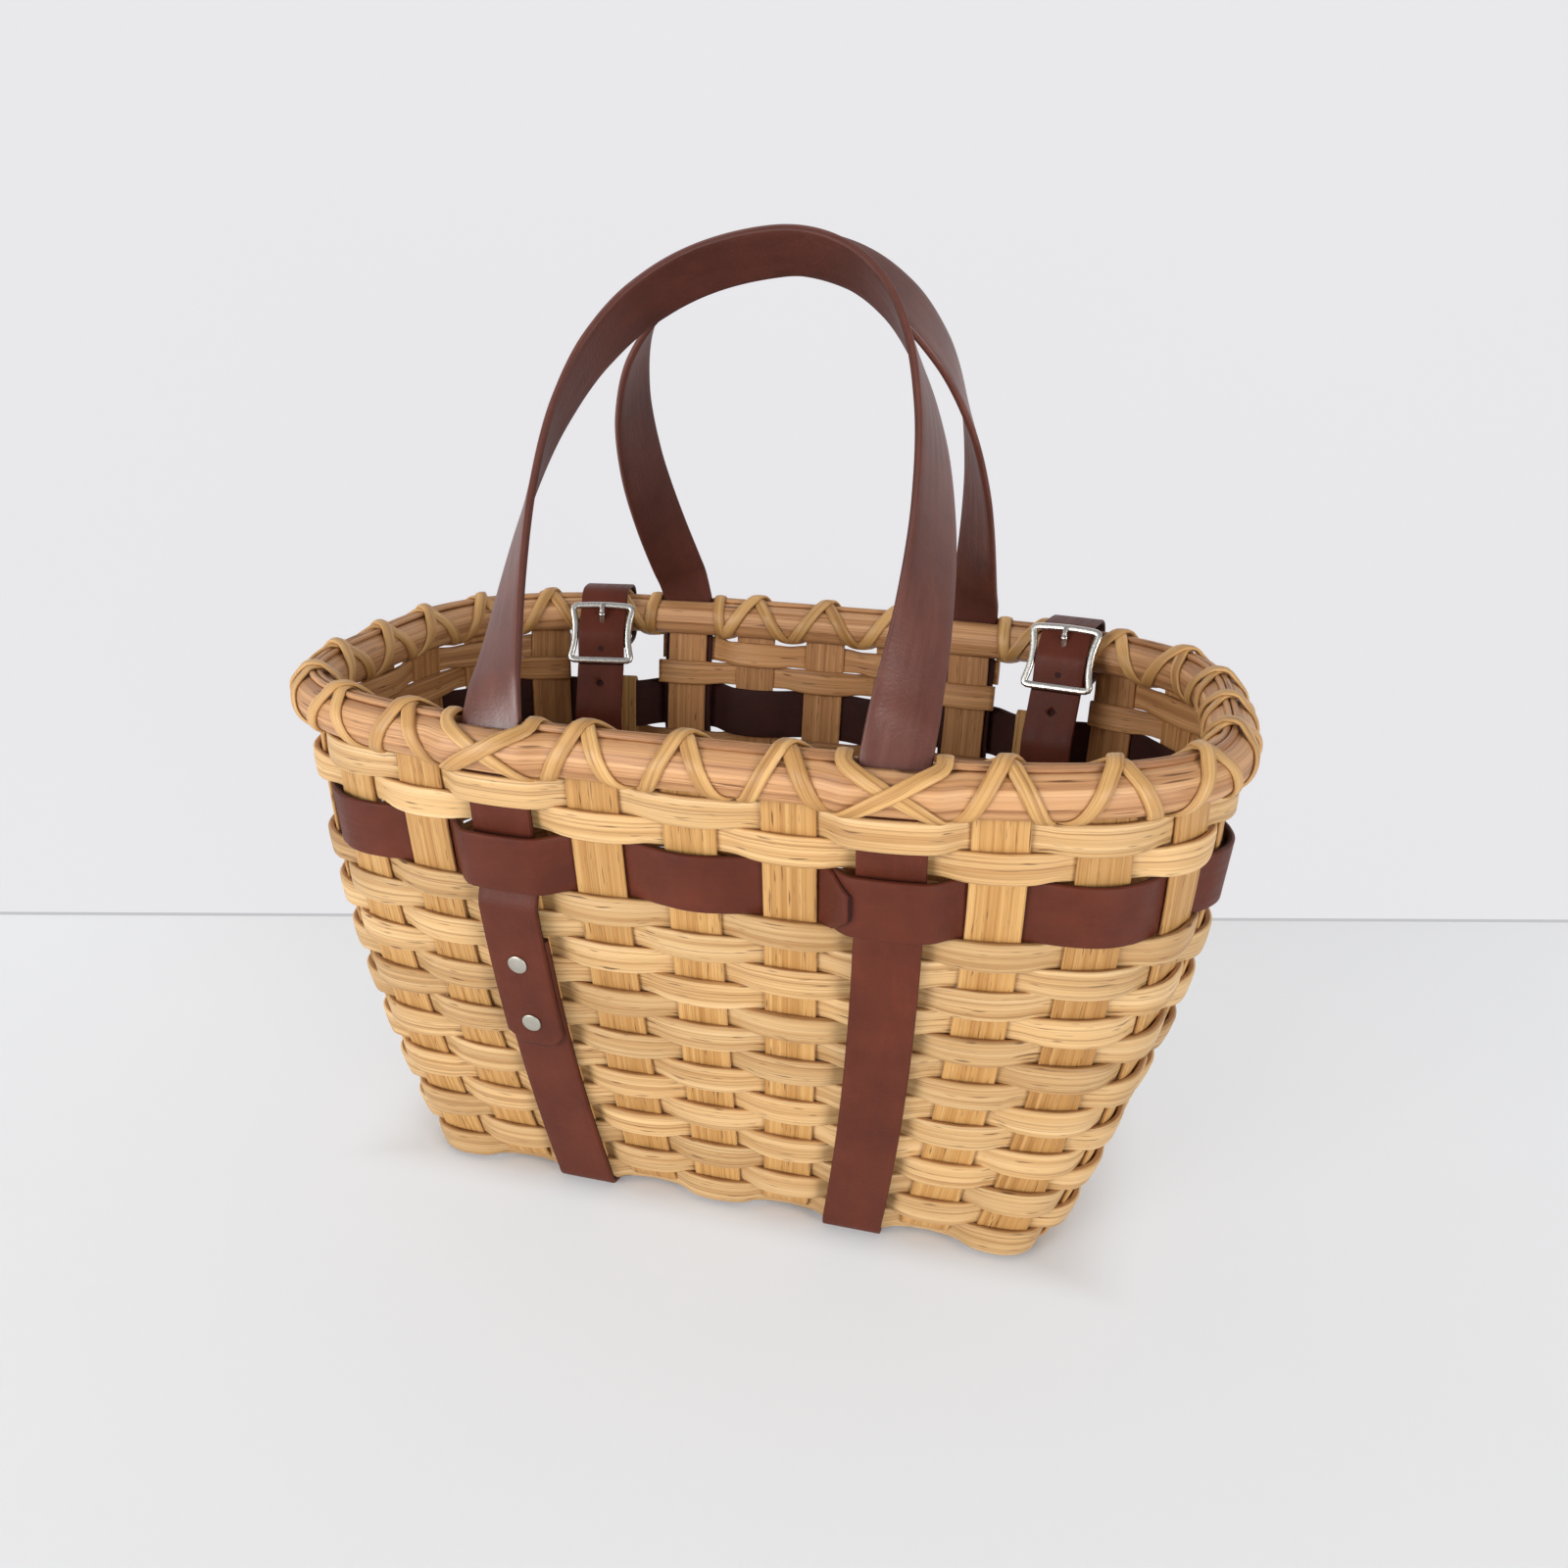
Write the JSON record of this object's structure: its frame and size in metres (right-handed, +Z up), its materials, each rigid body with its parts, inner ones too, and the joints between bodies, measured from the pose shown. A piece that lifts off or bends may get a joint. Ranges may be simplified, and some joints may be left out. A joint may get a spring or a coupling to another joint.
{
  "type": "bicycle basket",
  "caption": "Woven reed bicycle basket with a flared rectangular body, a lashed half-round rim, a woven leather band, leather carry straps with arched handles and buckled handlebar straps.",
  "frame": {"origin": "on the floor under the middle of the base, which is also the bottom centre of the bounding box", "axes": "+X along the length of the basket to the right as seen from the front, +Y from the front to the back wall with the rim straps, +Z up"},
  "size_m": [0.4134, 0.2532, 0.4005],
  "materials": {
    "reed_weaver": "natural flat oval reed, lightly oiled",
    "reed_stake": "natural flat reed with open fibres",
    "rim_reed": "natural half-round reed and split lashing",
    "leather": "dark brown waxed leather with cut edges",
    "nickel": "satin nickel plate"
  },
  "bodies": {
    "basket": {"weaver_1": "reed_weaver", "weaver_2": "reed_weaver", "weaver_3": "reed_weaver", "weaver_4": "reed_weaver", "weaver_5": "reed_weaver", "weaver_6": "reed_weaver", "weaver_7": "reed_weaver", "weaver_8": "reed_weaver", "weaver_9": "reed_weaver", "weaver_10": "reed_weaver", "weaver_11": "reed_weaver", "weaver_12": "reed_weaver", "weaver_13": "reed_weaver", "weaver_14": "reed_weaver", "top_weaver_front_1": "reed_weaver", "top_weaver_rear_1": "reed_weaver", "top_weaver_front_2": "reed_weaver", "top_weaver_rear_2": "reed_weaver", "cross_stake_1": "reed_stake", "cross_stake_2": "reed_stake", "cross_stake_3": "reed_stake", "cross_stake_4": "reed_stake", "cross_stake_5": "reed_stake", "cross_stake_6": "reed_stake", "cross_stake_7": "reed_stake", "cross_stake_8": "reed_stake", "cross_stake_9": "reed_stake", "long_stake_1": "reed_stake", "long_stake_2": "reed_stake", "long_stake_3": "reed_stake", "long_stake_4": "reed_stake", "long_stake_5": "reed_stake", "outer_rim": "rim_reed", "inner_rim": "rim_reed", "rim_filler_front": "rim_reed", "rim_filler_right": "rim_reed", "rim_filler_rear": "rim_reed", "rim_filler_left": "rim_reed", "lashing_under": "rim_reed", "lashing_over": "rim_reed", "leather_band": "leather", "carry_strap_right": "leather", "carry_strap_left": "leather", "carry_strap_lap": "leather", "rivet_upper": "nickel", "rivet_lower": "nickel"},
    "front_handle": {"front_handle": "leather"},
    "rear_handle": {"rear_handle": "leather"},
    "strap_left": {"rim_strap_left": "leather", "buckle_frame_left": "nickel"},
    "strap_right": {"rim_strap_right": "leather", "buckle_frame_right": "nickel"},
    "tongue_left": {"buckle_tongue_left": "nickel"},
    "tongue_right": {"buckle_tongue_right": "nickel"},
    "tail_left": {"strap_tail_left": "leather"},
    "tail_right": {"strap_tail_right": "leather"}
  },
  "joints": [
    {"name": "front_handle_fold", "type": "hinge", "parent": "basket", "child": "front_handle", "pos_m": [0, -0.11303, 0.22931], "axis": [1, 0, 0], "range_deg": [0, 100]},
    {"name": "rear_handle_fold", "type": "hinge", "parent": "basket", "child": "rear_handle", "pos_m": [0, 0.11303, 0.22931], "axis": [-1, 0, 0], "range_deg": [0, 100]},
    {"name": "strap_left_slide", "type": "slide", "parent": "basket", "child": "strap_left", "axis": [0.9826, 0.1854, 0.0117], "range_m": [-0.004, 0.004]},
    {"name": "strap_right_slide", "type": "slide", "parent": "basket", "child": "strap_right", "axis": [0.9826, -0.1854, -0.0117], "range_m": [-0.006, 0]},
    {"name": "tongue_left_lift", "type": "hinge", "parent": "strap_left", "child": "tongue_left", "pos_m": [-0.11481, 0.08541, 0.21122], "axis": [0.9826, 0.1854, 0.0117], "range_deg": [0, 25]},
    {"name": "tongue_right_lift", "type": "hinge", "parent": "strap_right", "child": "tongue_right", "pos_m": [0.12277, 0.0841, 0.21713], "axis": [0.9826, -0.1854, -0.0117], "range_deg": [0, 25]},
    {"name": "tail_left_swing", "type": "hinge", "parent": "strap_left", "child": "tail_left", "pos_m": [-0.11296, 0.07656, 0.19663], "axis": [-0.9826, -0.1854, -0.0117], "range_deg": [0, 60]},
    {"name": "tail_right_swing", "type": "hinge", "parent": "strap_right", "child": "tail_right", "pos_m": [0.12093, 0.07524, 0.20254], "axis": [-0.9826, 0.1854, 0.0117], "range_deg": [0, 60]}
  ]
}
